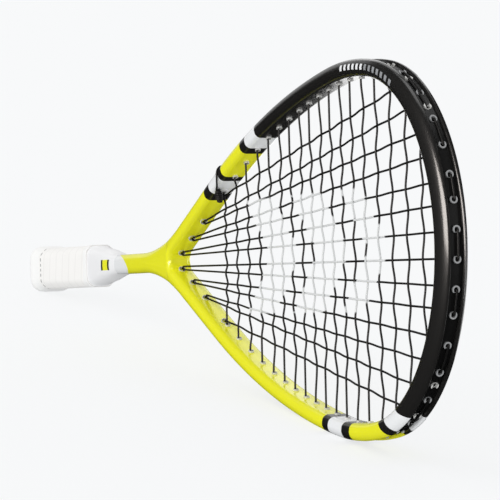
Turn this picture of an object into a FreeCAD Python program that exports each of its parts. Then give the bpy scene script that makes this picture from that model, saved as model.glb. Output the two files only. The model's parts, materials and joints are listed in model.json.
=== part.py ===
"""Squash racket: moulded composite frame, strung head, taped handle.

Every sub-part is drawn in the racket's own plane: x runs from the butt face to the tip, y runs across
the head and z is the normal of the string bed.  One placement, worked out from the resting points on the
butt cap and on the side of the head, then stands the whole racket on its edge with +Z up.
"""
import FreeCAD
import Part
import Sketcher
import math
import os

Vector = FreeCAD.Vector
doc = FreeCAD.newDocument("squash_racket")

# --------------------------------------------------------------------------- driving dimensions
SIZES = (
    ("racket_length", 686, "butt face to the outside of the tip"),
    ("beam_depth", 17, "frame depth along the string bed normal"),
    ("frame_width", 9.6, "frame width in the plane of the head, at the flanks"),
    ("edge_radius", 4, "rounding of the frame's long edges"),
    ("inner_tip", 672.9, "x of the inside of the tip"),
    ("tip_radius", 93.4, "inside of the head: arc round the tip"),
    ("flank_radius", 199.6, "inside of the head: arc at the widest point"),
    ("arm_radius", 628, "inside of the head: arc down to the arms"),
    ("tip_turn", 83, "degrees, half the angle of the tip arc"),
    ("flank_turn", 14.85, "degrees of the flank arc"),
    ("arm_turn", 16.75, "degrees of the arm arc"),
    ("throat_radius", 6, "inside corner of the throat"),
    ("throat_fillet", 180, "outside sweep from shaft to arm"),
    ("shaft_width", 13, "shaft width in the plane of the head"),
    ("tube_start", 8, "x where the shaft starts inside the handle"),
    ("wall", 1.6, "laminate thickness"),
    ("cavity_depth", 12, "hollow along z"),
    ("cavity_width", 3.9, "hollow of the hoop in the plane of the head"),
    ("bore_end", 262, "x where the hollow of the shaft ends"),
    ("groove_width", 7, "string groove along z"),
    ("groove_depth", 2.5, "string groove into the outer face"),
    ("groove_start", 270, "x where the string groove starts"),
    ("strip_thickness", 0.7, "nylon strip in the string groove"),
    ("strip_width", 6.4, "nylon strip along z"),
    ("strip_joint", 0.3, "degrees left open between two strips"),
    ("string_diameter", 1.2, "multifilament string"),
    ("string_offset", 0.63, "mains lie this far behind the mid plane, crosses this far before it"),
    ("throat_fan", 1.14, "half the spacing of two mains where they leave a shared throat hole"),
    ("sleeve_radius", 1.7, "outside of a grommet sleeve"),
    ("sleeve_bore", 1.3, "inside radius of a grommet sleeve"),
    ("throat_sleeve_radius", 2.3, "outside of a throat sleeve, which takes two strings"),
    ("throat_sleeve_bore", 1.9, "inside radius of a throat sleeve"),
    ("sleeve_proud", 1, "sleeve end standing out of the inner face"),
    ("collar_radius", 2.1, "horseshoe collar on the outer end of a sleeve"),
    ("collar_height", 1.1, "height of that collar"),
    ("tip_hole_lean", 0.62, "angle of a tip hole, as a share of the angle square to the inner face"),
    ("drill_reach", 6, "overrun of a string hole's drill at each end"),
    ("knot_distance", 7.4, "from the bend inside a hole to the first turn of a tie-off knot"),
    ("grip_half_width", 15, "taped handle across y, at the butt cap"),
    ("grip_half_depth", 13.6, "taped handle across z, at the butt cap"),
    ("grip_top_half_width", 14.6, "taped handle across y, at its upper edge"),
    ("grip_top_half_depth", 10.2, "taped handle across z, at its upper edge"),
    ("grip_corner", 5, "corner cut of the handle section at the butt cap"),
    ("grip_top_corner", 4, "corner cut of the handle section at the grip's upper edge"),
    ("grip_thickness", 1.2, "grip tape"),
    ("grip_start", 21, "x of the grip's lower edge"),
    ("grip_end", 122, "x of the grip's upper edge"),
    ("band_width", 7, "finishing tape along x"),
    ("band_thickness", 0.3, "finishing tape"),
    ("flare_half_width", 16.7, "butt cap rim across y"),
    ("flare_half_depth", 15.6, "butt cap rim across z"),
    ("flare_position", 8, "x of the butt cap rim"),
    ("cap_end_half_width", 14.2, "butt face across y"),
    ("cap_end_half_depth", 13.2, "butt face across z"),
    ("cap_floor", 3, "thickness of the butt face"),
    ("taper_end", 176, "x where the moulded taper meets the shaft"),
    ("taper_lip", 0.6, "thickness of the taper at the shaft"),
    ("fit_gap", 0.05, "clearance between glued or pressed pieces"),
)
sheet = doc.addObject("Spreadsheet::Sheet", "Sizes")
for row, (alias, value, meaning) in enumerate(SIZES, start=1):
    sheet.set("A%d" % row, alias)
    sheet.set("B%d" % row, str(value))
    sheet.set("C%d" % row, meaning)
    sheet.setAlias("B%d" % row, alias)
doc.recompute()


def size(alias):
    """Value of one driving dimension."""
    return float(getattr(sheet, alias))


# x of each cross string, throat to tip, and the half spacing of the mains at the gauge line
CROSS_X = (364.3, 383.0, 402.0, 420.7, 438.4, 455.0, 470.6, 485.9, 500.4, 515.0, 529.4, 543.8,
           558.4, 573.8, 591.0, 609.0, 628.0, 647.0)
MAIN_GAUGE_X = 600
MAIN_GAUGE_Y = (6.8, 18.3, 29.7, 41.9, 54.7, 67.9, 82.0)
# x of each pair of throat holes, from the middle out, and the mains that share them
THROAT_HOLE_X = (286.2, 305.5, 327.2, 359.3)
MAINS_OF_HOLE = ((0, 1), (2, 3), (4, 5), (6,))
HOLE_OF_MAIN = (0, 0, 1, 1, 2, 2, 3)
THROAT_DRILL_ANGLE = 135


# --------------------------------------------------------------------------- outline of the head
def polar(centre, radius, degrees):
    """Point at an angle on a circle in the racket's plane."""
    angle = math.radians(degrees)
    return Vector(centre.x + radius * math.cos(angle), centre.y + radius * math.sin(angle), 0)


TIP_ANGLE = size("tip_turn")
FLANK_ANGLE = TIP_ANGLE + size("flank_turn")
ARM_ANGLE = FLANK_ANGLE + size("arm_turn")
TIP_CENTRE = Vector(size("inner_tip") - size("tip_radius"), 0, 0)
FLANK_CENTRE = polar(TIP_CENTRE, size("tip_radius") - size("flank_radius"), TIP_ANGLE)
ARM_CENTRE = polar(FLANK_CENTRE, size("flank_radius") - size("arm_radius"), FLANK_ANGLE)
ARM_NORMAL = polar(Vector(), 1, ARM_ANGLE)
ARM_LINE = ARM_NORMAL.dot(polar(ARM_CENTRE, size("arm_radius"), ARM_ANGLE))
THROAT_CENTRE = Vector((ARM_LINE - size("throat_radius")) / ARM_NORMAL.x, 0, 0)

# The outer tip arc touches the flank arc and passes through the end of the racket.
OUTER_FLANK = size("flank_radius") + size("frame_width")
REACH = size("racket_length") - OUTER_FLANK
OUTER_TIP_CENTRE = Vector(
    (REACH ** 2 - FLANK_CENTRE.x ** 2 - FLANK_CENTRE.y ** 2) / (2 * (REACH - FLANK_CENTRE.x)), 0, 0)
OUTER_TIP_RADIUS = size("racket_length") - OUTER_TIP_CENTRE.x
OUTER_TIP_ANGLE = math.degrees(math.atan2(-FLANK_CENTRE.y, OUTER_TIP_CENTRE.x - FLANK_CENTRE.x))

# The outer throat sweep touches the shaft's side and the arm's outer line.
SHAFT_HALF = size("shaft_width") / 2
SWEEP_RISE = SHAFT_HALF + size("throat_fillet")
SWEEP_CENTRE = Vector(
    (ARM_LINE + size("frame_width") + size("throat_fillet") - ARM_NORMAL.y * SWEEP_RISE) / ARM_NORMAL.x,
    SWEEP_RISE, 0)


def arc(centre, radius, start, end):
    """Arc of a circle in the racket's plane, anticlockwise from start to end in degrees."""
    circle = Part.Circle(centre, Vector(0, 0, 1), radius)
    return Part.ArcOfCircle(circle, math.radians(start), math.radians(end))


def mirrored(point):
    """The same point on the other side of the racket."""
    return Vector(point.x, -point.y, point.z)


def inner_outline(offset):
    """Closed outline of the head's opening, moved outwards by offset."""
    tip = size("tip_radius") + offset
    flank = size("flank_radius") + offset
    arm = size("arm_radius") + offset
    throat = size("throat_radius") + offset
    arm_end = polar(ARM_CENTRE, arm, ARM_ANGLE)
    throat_end = polar(THROAT_CENTRE, throat, ARM_ANGLE)
    return [
        arc(TIP_CENTRE, tip, -TIP_ANGLE, TIP_ANGLE),
        arc(FLANK_CENTRE, flank, TIP_ANGLE, FLANK_ANGLE),
        arc(ARM_CENTRE, arm, FLANK_ANGLE, ARM_ANGLE),
        Part.LineSegment(arm_end, throat_end),
        arc(THROAT_CENTRE, throat, ARM_ANGLE, 360 - ARM_ANGLE),
        Part.LineSegment(mirrored(throat_end), mirrored(arm_end)),
        arc(mirrored(ARM_CENTRE), arm, -ARM_ANGLE, -FLANK_ANGLE),
        arc(mirrored(FLANK_CENTRE), flank, -FLANK_ANGLE, -TIP_ANGLE),
    ]


def outer_outline(inset):
    """Closed outline of hoop, throat and shaft, moved inwards by inset."""
    start = size("tube_start")
    half = SHAFT_HALF - inset
    tip = OUTER_TIP_RADIUS - inset
    flank = OUTER_FLANK - inset
    arm = size("arm_radius") + size("frame_width") - inset
    sweep = size("throat_fillet") + inset
    arm_end = polar(ARM_CENTRE, arm, ARM_ANGLE)
    sweep_end = polar(SWEEP_CENTRE, -sweep, ARM_ANGLE)
    shaft_end = Vector(SWEEP_CENTRE.x, half, 0)
    corner = Vector(start, half, 0)
    return [
        arc(OUTER_TIP_CENTRE, tip, -OUTER_TIP_ANGLE, OUTER_TIP_ANGLE),
        arc(FLANK_CENTRE, flank, OUTER_TIP_ANGLE, FLANK_ANGLE),
        arc(ARM_CENTRE, arm, FLANK_ANGLE, ARM_ANGLE),
        Part.LineSegment(arm_end, sweep_end),
        arc(SWEEP_CENTRE, sweep, 270, 180 + ARM_ANGLE),
        Part.LineSegment(shaft_end, corner),
        Part.LineSegment(corner, mirrored(corner)),
        Part.LineSegment(mirrored(corner), mirrored(shaft_end)),
        arc(mirrored(SWEEP_CENTRE), sweep, 180 - ARM_ANGLE, 90),
        Part.LineSegment(mirrored(sweep_end), mirrored(arm_end)),
        arc(mirrored(ARM_CENTRE), arm, -ARM_ANGLE, -FLANK_ANGLE),
        arc(mirrored(FLANK_CENTRE), flank, -FLANK_ANGLE, -OUTER_TIP_ANGLE),
    ]


# --------------------------------------------------------------------------- helpers
def new_body(name):
    """A new body of the document."""
    return doc.addObject("PartDesign::Body", name)


def new_sketch(body, name, plane, offset=0.0):
    """Sketch on one of the body's own origin planes, moved along its normal."""
    sketch = body.newObject("Sketcher::SketchObject", name)
    support = [item for item in body.Origin.OriginFeatures if item.Role == plane][0]
    sketch.AttachmentSupport = [(support, "")]
    sketch.MapMode = "FlatFace"
    sketch.AttachmentOffset = FreeCAD.Placement(Vector(0, 0, offset), FreeCAD.Rotation())
    return sketch


def add_loop(sketch, curves):
    """Closed loop of curves, with coincident ends."""
    first = sketch.GeometryCount
    sketch.addGeometry(curves, False)
    count = len(curves)
    for index in range(count):
        here = first + index
        there = first + (index + 1) % count
        pairs = ((a, b) for a in (1, 2) for b in (1, 2))
        end = min(pairs, key=lambda ab: (sketch.getPoint(here, ab[0]) - sketch.getPoint(there, ab[1])).Length)
        sketch.addConstraint(Sketcher.Constraint("Coincident", here, end[0], there, end[1]))


def polygon(points):
    """Straight edges through the points, closed."""
    return [Part.LineSegment(a, b) for a, b in zip(points, points[1:] + points[:1])]


def symmetric_pad(body, name, sketch, length):
    """Pad of a sketch to both sides of its plane, with a length from the sheet."""
    pad = body.newObject("PartDesign::Pad", name)
    pad.Profile = sketch
    pad.SideType = "Symmetric"
    pad.setExpression("Length", length)
    return pad


def symmetric_pocket(body, name, sketch, length):
    """Pocket of a sketch to both sides of its plane, with a length from the sheet."""
    pocket = body.newObject("PartDesign::Pocket", name)
    pocket.Profile = sketch
    pocket.SideType = "Symmetric"
    pocket.setExpression("Length", length)
    return pocket


def octagon(half_width, half_depth, cut):
    """Section of the handle: a rectangle across y and z with cut corners."""
    flat_y = half_width - cut
    flat_z = half_depth - cut
    return [
        Vector(half_width, -flat_z, 0), Vector(half_width, flat_z, 0),
        Vector(flat_y, half_depth, 0), Vector(-flat_y, half_depth, 0),
        Vector(-half_width, flat_z, 0), Vector(-half_width, -flat_z, 0),
        Vector(-flat_y, -half_depth, 0), Vector(flat_y, -half_depth, 0),
    ]


def loft(body, name, outlines, kind="AdditiveLoft", ruled=True):
    """Loft along the racket through outlines given as (x, corner points across y and z)."""
    sketches = []
    for index, (x, points) in enumerate(outlines):
        sketch = new_sketch(body, "%s_section_%d" % (name, index), "YZ_Plane", x)
        add_loop(sketch, polygon(points))
        sketches.append(sketch)
    item = body.newObject("PartDesign::" + kind, name)
    item.Profile = sketches[0]
    item.Sections = sketches[1:]
    item.Ruled = ruled
    return item


def feature(name, shape):
    """Document object for a shape worked out from the sheet."""
    item = doc.addObject("Part::Feature", name)
    item.Shape = shape
    return item


def cut(name, base, tool):
    """Boolean cut of two document objects."""
    item = doc.addObject("Part::Cut", name)
    item.Base = base
    item.Tool = tool
    return item


# --------------------------------------------------------------------------- string holes
GROOVE_FLOOR = outer_outline(size("groove_depth"))
STRING_LIFT = size("strip_thickness") + size("string_diameter") / 2 + 2 * size("fit_gap")


def way_out(mouth, direction):
    """Distance from a mouth on the inner face to the floor of the string groove."""
    ray = Part.LineSegment(mouth, mouth + direction * 40)
    hits = []
    for curve in GROOVE_FLOOR:
        hits += [Vector(hit.X, hit.Y, 0) for hit in curve.intersectCC(ray)]
    return min((hit - mouth).Length for hit in hits)


class Hole:
    """A string hole through the hoop: its mouth on the inner face, its way out and its depth."""

    def __init__(self, mouth, direction, depth):
        self.mouth = mouth
        self.direction = direction
        self.depth = depth

    def other_side(self):
        """The same hole on the other side of the racket."""
        return Hole(mirrored(self.mouth), mirrored(self.direction), self.depth)

    def at(self, distance):
        """Point on the hole's axis, measured outwards from the mouth."""
        return self.mouth + self.direction * distance

    def inner_bend(self):
        """Where a string turns as it leaves the sleeve towards the bed."""
        return self.at(-size("sleeve_proud") - size("string_diameter") / 2)

    def outer_bend(self):
        """Where a string turns on to its run along the groove."""
        return self.at(self.depth + STRING_LIFT)


def hole_at(mouth, degrees):
    """Hole drilled outwards from a mouth at an angle in degrees."""
    direction = polar(Vector(), 1, degrees)
    return Hole(mouth, direction, way_out(mouth, direction))


def side_hole(x):
    """Hole square to the inner face at a given x, on the upper side."""
    arcs = ((TIP_CENTRE, size("tip_radius"), TIP_ANGLE),
            (FLANK_CENTRE, size("flank_radius"), FLANK_ANGLE),
            (ARM_CENTRE, size("arm_radius"), ARM_ANGLE))
    for centre, radius, end in arcs:
        cosine = (x - centre.x) / radius
        if cosine >= math.cos(math.radians(end)):
            angle = math.degrees(math.acos(cosine))
            return hole_at(polar(centre, radius, angle), angle)
    return hole_at(Vector(x, (ARM_LINE - x * ARM_NORMAL.x) / ARM_NORMAL.y, 0), ARM_ANGLE)


def tip_hole(start, gauge):
    """Hole where a main reaches the tip arc, turned from square to the face towards the axis."""
    line = Part.LineSegment(start, start + (gauge - start) * 2)
    hit = arc(TIP_CENTRE, size("tip_radius"), 0, 90).intersectCC(line)[0]
    mouth = Vector(hit.X, hit.Y, 0)
    offset = mouth - TIP_CENTRE
    return hole_at(mouth, size("tip_hole_lean") * math.degrees(math.atan2(offset.y, offset.x)))


def throat_hole(x):
    """Slanting hole through the arm, shared by two mains."""
    mouth = Vector(x, (ARM_LINE - x * ARM_NORMAL.x) / ARM_NORMAL.y, 0)
    return hole_at(mouth, THROAT_DRILL_ANGLE)


def both_sides(holes):
    """The holes and their twins on the other side."""
    return holes + [hole.other_side() for hole in holes]


throat_holes = [throat_hole(x) for x in THROAT_HOLE_X]
side_holes = [side_hole(x) for x in CROSS_X]
tip_holes = [tip_hole(throat_holes[HOLE_OF_MAIN[k]].mouth, Vector(MAIN_GAUGE_X, MAIN_GAUGE_Y[k], 0))
             for k in range(len(MAIN_GAUGE_Y))]


def drill(hole, radius):
    """Cylinder that opens a string hole right through the hoop."""
    reach = size("drill_reach")
    return Part.makeCylinder(radius, hole.depth + 2 * reach, hole.at(-reach), hole.direction)


drills = [drill(hole, size("sleeve_radius") + size("fit_gap")) for hole in both_sides(tip_holes + side_holes)]
drills += [drill(hole, size("throat_sleeve_radius") + size("fit_gap")) for hole in both_sides(throat_holes)]
string_drills = feature("string_drills", Part.makeCompound(drills))


def collar_seat(hole):
    """Cylinder that lets the collar of a leaning sleeve sink into the strip."""
    base = hole.at(hole.depth + size("strip_thickness"))
    radius = size("collar_radius") + size("fit_gap")
    return Part.makeCylinder(radius, size("drill_reach"), base, hole.direction)


collar_seats = feature("collar_seats", Part.makeCompound([collar_seat(hole) for hole in both_sides(tip_holes)]))


# --------------------------------------------------------------------------- frame
def groove_region():
    """Everything outside the floor of the string groove, from the throat to beyond the tip."""
    x = size("groove_start")
    floor = size("throat_fillet") + size("groove_depth")
    turn = math.degrees(math.acos((x - SWEEP_CENTRE.x) / floor))
    sweep = arc(SWEEP_CENTRE, floor, 360 - turn, 180 + ARM_ANGLE)
    sweep_twin = arc(mirrored(SWEEP_CENTRE), floor, 180 - ARM_ANGLE, turn)
    start = polar(SWEEP_CENTRE, floor, -turn)
    far_x = size("racket_length") + size("beam_depth")
    far_y = size("racket_length") / 5
    corners = [start, Vector(x, far_y, 0), Vector(far_x, far_y, 0),
               Vector(far_x, -far_y, 0), Vector(x, -far_y, 0), mirrored(start)]
    lines = [Part.LineSegment(a, b) for a, b in zip(corners, corners[1:])]
    return GROOVE_FLOOR[0:4] + [sweep] + lines + [sweep_twin] + GROOVE_FLOOR[9:12]


def make_frame():
    """One-piece hollow moulding: hoop, open throat and shaft, with the string groove and holes."""
    body = new_body("frame_moulding")
    outline = new_sketch(body, "frame_outline", "XY_Plane")
    add_loop(outline, outer_outline(0))
    add_loop(outline, inner_outline(0))
    symmetric_pad(body, "frame_pad", outline, "Sizes.beam_depth")
    doc.recompute()

    pad = body.Tip
    face_z = size("beam_depth") / 2
    rim = []
    for index, edge in enumerate(pad.Shape.Edges, start=1):
        box = edge.BoundBox
        flat = box.ZLength < 0.01 and abs(abs(box.ZMin) - face_z) < 0.01
        if flat and box.XMax > size("tube_start") + 1:
            rim.append("Edge%d" % index)
    rounding = body.newObject("PartDesign::Fillet", "frame_rounding")
    rounding.Base = (pad, rim)
    rounding.setExpression("Radius", "Sizes.edge_radius")
    doc.recompute()

    groove = new_sketch(body, "string_groove_outline", "XY_Plane")
    add_loop(groove, groove_region())
    symmetric_pocket(body, "string_groove", groove, "Sizes.groove_width")

    cavity = new_sketch(body, "hoop_hollow_outline", "XY_Plane")
    add_loop(cavity, inner_outline(size("wall")))
    add_loop(cavity, inner_outline(size("wall") + size("cavity_width")))
    symmetric_pocket(body, "hoop_hollow", cavity, "Sizes.cavity_depth")

    bore = new_sketch(body, "shaft_hollow_outline", "XY_Plane")
    half = SHAFT_HALF - size("wall")
    start = size("tube_start") - 1
    end = size("bore_end")
    add_loop(bore, polygon([Vector(start, -half, 0), Vector(end, -half, 0),
                            Vector(end, half, 0), Vector(start, half, 0)]))
    symmetric_pocket(body, "shaft_hollow", bore, "Sizes.cavity_depth")
    return cut("frame", body, string_drills)


# --------------------------------------------------------------------------- groove strips and grommets
def strip_edges(arcs, end_angles):
    """Closed band between the groove floor and the strip's outer face, along one or more arcs."""
    thickness = size("strip_thickness")
    floor = [arc(c, r, a, b) for c, r, a, b in arcs]
    face = [arc(c, r + thickness, a, b) for c, r, a, b in arcs]
    (first_centre, first_radius), (last_centre, last_radius) = (arcs[0][0:2], arcs[-1][0:2])
    first, last = end_angles
    ends = [Part.LineSegment(polar(first_centre, first_radius, first),
                             polar(first_centre, first_radius + thickness, first)),
            Part.LineSegment(polar(last_centre, last_radius, last),
                             polar(last_centre, last_radius + thickness, last))]
    return [ends[0]] + face + [ends[1]] + floor[::-1]


STRIP_JOINT_ANGLE = 69
SIDE_STRIP_END_ANGLE = 114.3


def make_strip(name, arcs, end_angles):
    """Nylon strip in the string groove, pierced by the grommet sleeves."""
    body = new_body(name + "_band")
    sketch = new_sketch(body, name + "_outline", "XY_Plane")
    add_loop(sketch, strip_edges(arcs, end_angles))
    symmetric_pad(body, name + "_pad", sketch, "Sizes.strip_width")
    return cut(name, cut(name + "_pierced", body, string_drills), collar_seats)


def make_strips():
    """Head strip and the two side strips, which meet it on the shoulders."""
    tip = OUTER_TIP_RADIUS - size("groove_depth")
    flank = OUTER_FLANK - size("groove_depth")
    arm = size("arm_radius") + size("frame_width") - size("groove_depth")
    joint = STRIP_JOINT_ANGLE
    gap = size("strip_joint")
    last = SIDE_STRIP_END_ANGLE
    head = make_strip("head_groove_strip", [(OUTER_TIP_CENTRE, tip, -joint, joint)], (-joint, joint))
    left = make_strip(
        "left_groove_strip",
        [(OUTER_TIP_CENTRE, tip, joint + gap, OUTER_TIP_ANGLE),
         (FLANK_CENTRE, flank, OUTER_TIP_ANGLE, FLANK_ANGLE),
         (ARM_CENTRE, arm, FLANK_ANGLE, last)], (joint + gap, last))
    right = make_strip(
        "right_groove_strip",
        [(mirrored(ARM_CENTRE), arm, -last, -FLANK_ANGLE),
         (mirrored(FLANK_CENTRE), flank, -FLANK_ANGLE, -OUTER_TIP_ANGLE),
         (OUTER_TIP_CENTRE, tip, -OUTER_TIP_ANGLE, -joint - gap)], (-last, -joint - gap))
    return [head, left, right]


def sleeve(hole, openings):
    """Grommet sleeve with a collar outside, which is open towards each outside string run."""
    proud = size("sleeve_proud")
    floor = hole.depth + size("strip_thickness") + size("fit_gap")
    bore = size("sleeve_bore")
    tube = Part.makeCylinder(size("sleeve_radius"), floor + proud, hole.at(-proud), hole.direction)
    collar = Part.makeCylinder(size("collar_radius"), size("collar_height"), hole.at(floor), hole.direction)
    shape = tube.fuse(collar)
    shape = shape.cut(Part.makeCylinder(bore, floor + 20, hole.at(-proud - 1), hole.direction))
    tangent = Vector(-hole.direction.y, hole.direction.x, 0)
    for side in openings:
        slot = Part.makeBox(size("collar_radius") * 2, 2 * bore, size("collar_height") * 2, Vector(0, -bore, 0))
        turn = FreeCAD.Rotation(tangent * side, Vector(0, 0, side), hole.direction, "XZY")
        slot.Placement = FreeCAD.Placement(hole.at(floor), turn)
        shape = shape.cut(slot)
    return shape


def throat_sleeve(hole):
    """Plain sleeve through the arm, wide enough for two strings."""
    proud = size("sleeve_proud")
    length = hole.depth + proud
    tube = Part.makeCylinder(size("throat_sleeve_radius"), length, hole.at(-proud), hole.direction)
    return tube.cut(Part.makeCylinder(size("throat_sleeve_bore"), length + 2, hole.at(-proud - 1), hole.direction))


def make_grommets():
    """Sleeves of the tip, of both flanks and of the throat."""
    tip_shapes = []
    for index, hole in enumerate(tip_holes):
        towards_pair = 1 if index % 2 else -1
        shoulder = index >= len(tip_holes) - 2
        openings = (-1, 1) if shoulder else (towards_pair,)
        tip_shapes.append(sleeve(hole, openings))
        tip_shapes.append(sleeve(hole.other_side(), [-side for side in openings]))
    left = [sleeve(hole, (-1, 1)) for hole in side_holes]
    right = [sleeve(hole.other_side(), (-1, 1)) for hole in side_holes]
    return [
        feature("head_grommets", Part.makeCompound(tip_shapes)),
        feature("left_side_grommets", Part.makeCompound(left)),
        feature("right_side_grommets", Part.makeCompound(right)),
        feature("left_throat_grommets", Part.makeCompound([throat_sleeve(hole) for hole in throat_holes])),
        feature("right_throat_grommets",
                Part.makeCompound([throat_sleeve(hole.other_side()) for hole in throat_holes])),
    ]


# --------------------------------------------------------------------------- strings
MITRED = 1


def rod(points):
    """Round string through the points, mitred at its bends."""
    section = Part.makeCircle(size("string_diameter") / 2, points[0], points[1] - points[0])
    return Part.makePolygon(points).makePipeShell([Part.Wire([section])], True, False, MITRED)


def outside_run(start, end):
    """String that lies in the groove between two outer bends, clear of both."""
    chord = end - start
    outward = Vector(chord.y, -chord.x, 0).normalize()
    middle = (start + end) / 2
    if outward.dot(middle - TIP_CENTRE) < 0:
        outward = -outward
    half_width = size("frame_width") / 2
    inside = Vector(middle.x, middle.y, 0) - outward * half_width
    bulge = way_out(inside, outward) + STRING_LIFT - half_width
    gap = size("string_diameter") / 2 + size("fit_gap")
    along = chord.normalize() * gap
    if bulge <= 0:
        return rod([start + along, end - along])
    crown = middle + outward * bulge
    full = Part.Arc(start, crown, end).toShape()
    first = full.valueAt(full.getParameterByLength(gap))
    last = full.valueAt(full.getParameterByLength(full.Length - gap))
    path = Part.Arc(first, crown, last).toShape()
    section = Part.makeCircle(size("string_diameter") / 2, first, path.tangentAt(path.FirstParameter))
    return Part.Wire([path]).makePipeShell([Part.Wire([section])], True, False)


def main_path(index):
    """Bends of one upper main: outside the throat, inside it, inside the tip and outside it."""
    hole = throat_holes[HOLE_OF_MAIN[index]]
    tip = tip_holes[index]
    across = Vector(-hole.direction.y, hole.direction.x, 0)
    shared = MAINS_OF_HOLE[HOLE_OF_MAIN[index]]
    first_of_pair = index == shared[0]
    fan = Vector()
    if len(shared) == 2:
        fan = (across - Vector(0, 1, 0)).normalize() * size("throat_fan") * (1 if first_of_pair else -1)
    level = Vector(0, 0, size("string_offset"))
    outside = level if first_of_pair else -level
    throat_lift = STRING_LIFT - size("strip_thickness")
    return [hole.at(hole.depth + throat_lift) + outside, hole.inner_bend() + fan - level,
            tip.inner_bend() - level, tip.outer_bend() - level]


TIP_PAIRS = ((1, 2), (3, 4), (5, 6))
THROAT_PAIRS = ((0, 2), (1, 3), (4, 6))


def make_mains():
    """Mains from the tip to the throat, two to a throat hole, with their runs outside the hoop."""
    paths = [main_path(index) for index in range(len(tip_holes))]
    runs = []
    for path in paths:
        runs += [rod(path), rod([mirrored(point) for point in path])]
    loops = [outside_run(paths[0][3], mirrored(paths[0][3]))]
    links = [(paths[a][3], paths[b][3]) for a, b in TIP_PAIRS]
    links += [(paths[a][0], paths[b][0]) for a, b in THROAT_PAIRS]
    for start, end in links:
        loops += [outside_run(start, end), outside_run(mirrored(start), mirrored(end))]
    return [feature("main_strings", Part.makeCompound(runs)),
            feature("main_string_loops", Part.makeCompound(loops))]


def make_crosses():
    """Crosses from flank to flank, with their runs outside the hoop on alternate sides."""
    level = Vector(0, 0, size("string_offset"))
    runs = []
    loops = []
    for index, hole in enumerate(side_holes):
        twin = hole.other_side()
        path = [hole.outer_bend(), hole.inner_bend(), twin.inner_bend(), twin.outer_bend()]
        runs.append(rod([point + level for point in path]))
        if index + 1 < len(side_holes):
            start = hole.outer_bend() + level
            end = side_holes[index + 1].outer_bend() + level
            if index % 2:
                start, end = mirrored(start), mirrored(end)
            loops.append(outside_run(start, end))
    return [feature("cross_strings", Part.makeCompound(runs)),
            feature("cross_string_loops", Part.makeCompound(loops))]


def make_tie_off():
    """Tie-off knot of two turns round the upper outermost main, next to its throat hole."""
    start = throat_holes[3].inner_bend()
    along = (tip_holes[6].inner_bend() - start).normalize()
    coils = []
    for turn in (0, 1):
        ring = doc.addObject("Part::Torus", "tie_off_turn_%d" % turn)
        ring.setExpression("Radius1", "Sizes.string_diameter + Sizes.fit_gap")
        ring.setExpression("Radius2", "Sizes.string_diameter / 2")
        centre = start + along * (size("knot_distance") + turn * (size("string_diameter") + size("fit_gap")))
        centre.z = -size("string_offset")
        ring.Placement = FreeCAD.Placement(centre, FreeCAD.Rotation(Vector(0, 0, 1), along))
        coils.append(ring)
    knot = doc.addObject("Part::Compound", "tie_off_knot")
    knot.Links = coils
    return knot


# --------------------------------------------------------------------------- handle
def shaft_section():
    """Hole that fits round the shaft with its rounded edges."""
    gap = size("fit_gap")
    corner = size("edge_radius") * (2 - math.sqrt(2))
    return SHAFT_HALF + gap, size("beam_depth") / 2 + gap, corner


def handle_section(x, inset):
    """Octagon of the handle at x, moved in from the grip's outer face; level inside the butt cap."""
    share = max(0, (x - size("grip_start")) / (size("grip_end") - size("grip_start")))
    half_width = size("grip_half_width") * (1 - share) + size("grip_top_half_width") * share
    half_depth = size("grip_half_depth") * (1 - share) + size("grip_top_half_depth") * share
    corner = size("grip_corner") * (1 - share) + size("grip_top_corner") * share
    return octagon(half_width - inset, half_depth - inset, corner)


def make_handle_half(name, side):
    """Half of the moulded handle core, split at the racket's plane."""
    seam = size("fit_gap")
    outlines = []
    for x in (size("cap_floor") + seam, size("grip_start"), size("grip_end")):
        outside = handle_section(x, size("grip_thickness"))[1:5]
        inside = octagon(*shaft_section())[1:5]
        for row in (outside, inside):
            row.insert(0, Vector(row[0].x, seam, 0))
            row.append(Vector(row[-1].x, seam, 0))
        outlines.append((x, [Vector(point.x, point.y * side, 0) for point in outside + inside[::-1]]))
    body = new_body(name)
    loft(body, name + "_loft", outlines)
    return body


def make_sleeve(name, start, end, outside, inside):
    """Sleeve round the handle from start to end, its walls at two insets from the grip's outer face."""
    body = new_body(name)
    for kind, inset in (("AdditiveLoft", outside), ("SubtractiveLoft", inside)):
        loft(body, "%s_%s" % (name, kind), [(x, handle_section(x, inset)) for x in (start, end)], kind)
        doc.recompute()
    return body


def make_butt_cap():
    """Flared butt cap, a socket over the end of the handle core."""
    body = new_body("butt_cap")
    end_width = size("cap_end_half_width")
    end_depth = size("cap_end_half_depth")
    rim_width = size("flare_half_width")
    rim_depth = size("flare_half_depth")
    rim = size("flare_position")
    land = size("grip_start") - rim
    corner = size("grip_corner")
    loft(body, "butt_cap_loft", [
        (0, octagon(end_width, end_depth, corner)),
        (rim * 0.3, octagon((end_width + rim_width) / 2, (end_depth + rim_depth) / 2, corner)),
        (rim, octagon(rim_width, rim_depth, corner + 0.4)),
        (rim + land / 3, octagon(rim_width - 0.3, rim_depth - 0.3, corner + 0.3)),
        (size("grip_start"), handle_section(size("grip_start"), 0)),
    ])
    socket = new_sketch(body, "butt_cap_socket_outline", "YZ_Plane",
                        (size("cap_floor") + size("grip_start") + 1) / 2)
    wall = size("grip_thickness") - size("fit_gap")
    add_loop(socket, polygon(handle_section(size("grip_start"), wall)))
    symmetric_pocket(body, "butt_cap_socket", socket, "Sizes.grip_start + 1 - Sizes.cap_floor")
    return body


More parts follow.
